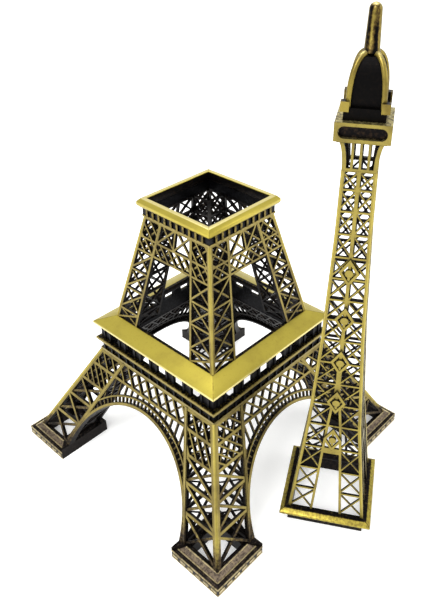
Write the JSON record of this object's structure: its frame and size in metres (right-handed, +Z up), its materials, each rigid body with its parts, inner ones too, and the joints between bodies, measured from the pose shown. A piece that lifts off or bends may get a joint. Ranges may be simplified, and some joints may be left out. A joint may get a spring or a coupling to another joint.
{
  "type": "miniature landmark model",
  "caption": "Cast-metal miniature of a lattice tower in separate sections: arched base on splayed legs with a top socket, and a slender column with collar, domed head and spire.",
  "frame": {"origin": "on the floor, at the centre of the lower section's square plan", "axes": "+Z up; -Y towards the side the upper section stands at; +X to that side's right"},
  "size_m": [0.19, 0.2327, 0.3116],
  "materials": {
    "aged_gold": "satin antique gold plating",
    "dark_patina": "semi-gloss black-brown lacquer"
  },
  "bodies": {
    "base_section": {"plinth_front_left": "aged_gold", "plinth_front_right": "aged_gold", "plinth_back_right": "aged_gold", "plinth_back_left": "aged_gold", "leg_front_left": "aged_gold", "leg_front_right": "aged_gold", "leg_back_right": "aged_gold", "leg_back_left": "aged_gold", "stage_leg_front_left": "aged_gold", "stage_leg_front_right": "aged_gold", "stage_leg_back_right": "aged_gold", "stage_leg_back_left": "aged_gold", "arch_front": "aged_gold", "arch_right": "aged_gold", "arch_back": "aged_gold", "arch_left": "aged_gold", "gallery_front": "dark_patina", "gallery_right": "dark_patina", "gallery_back": "dark_patina", "gallery_left": "dark_patina", "deck_front": "aged_gold", "deck_right": "aged_gold", "deck_back": "aged_gold", "deck_left": "aged_gold", "stage_girder_front": "aged_gold", "stage_girder_right": "aged_gold", "stage_girder_back": "aged_gold", "stage_girder_left": "aged_gold", "cornice_front": "dark_patina", "cornice_right": "dark_patina", "cornice_back": "dark_patina", "cornice_left": "dark_patina", "socket_ring_front": "aged_gold", "socket_ring_right": "aged_gold", "socket_ring_back": "aged_gold", "socket_ring_left": "aged_gold"},
    "upper_section": {"plug": "dark_patina", "collar_front": "aged_gold", "collar_right": "aged_gold", "collar_back": "aged_gold", "collar_left": "aged_gold", "column_front": "aged_gold", "column_right": "aged_gold", "column_back": "aged_gold", "column_left": "aged_gold", "ornament_1": "aged_gold", "ornament_2": "aged_gold", "ornament_3": "aged_gold", "ornament_4": "aged_gold", "ornament_5": "aged_gold", "flare": "dark_patina", "platform": "aged_gold", "dome_base": "dark_patina", "dome_core": "dark_patina", "dome_rib_1": "aged_gold", "dome_rib_2": "aged_gold", "dome_rib_3": "aged_gold", "dome_rib_4": "aged_gold", "spire": "aged_gold"}
  },
  "joints": [
    {"name": "upper_section_lift", "type": "slide", "parent": "base_section", "child": "upper_section", "axis": [0, -0.2425, 0.9701], "range_m": [0, 0.21]}
  ]
}
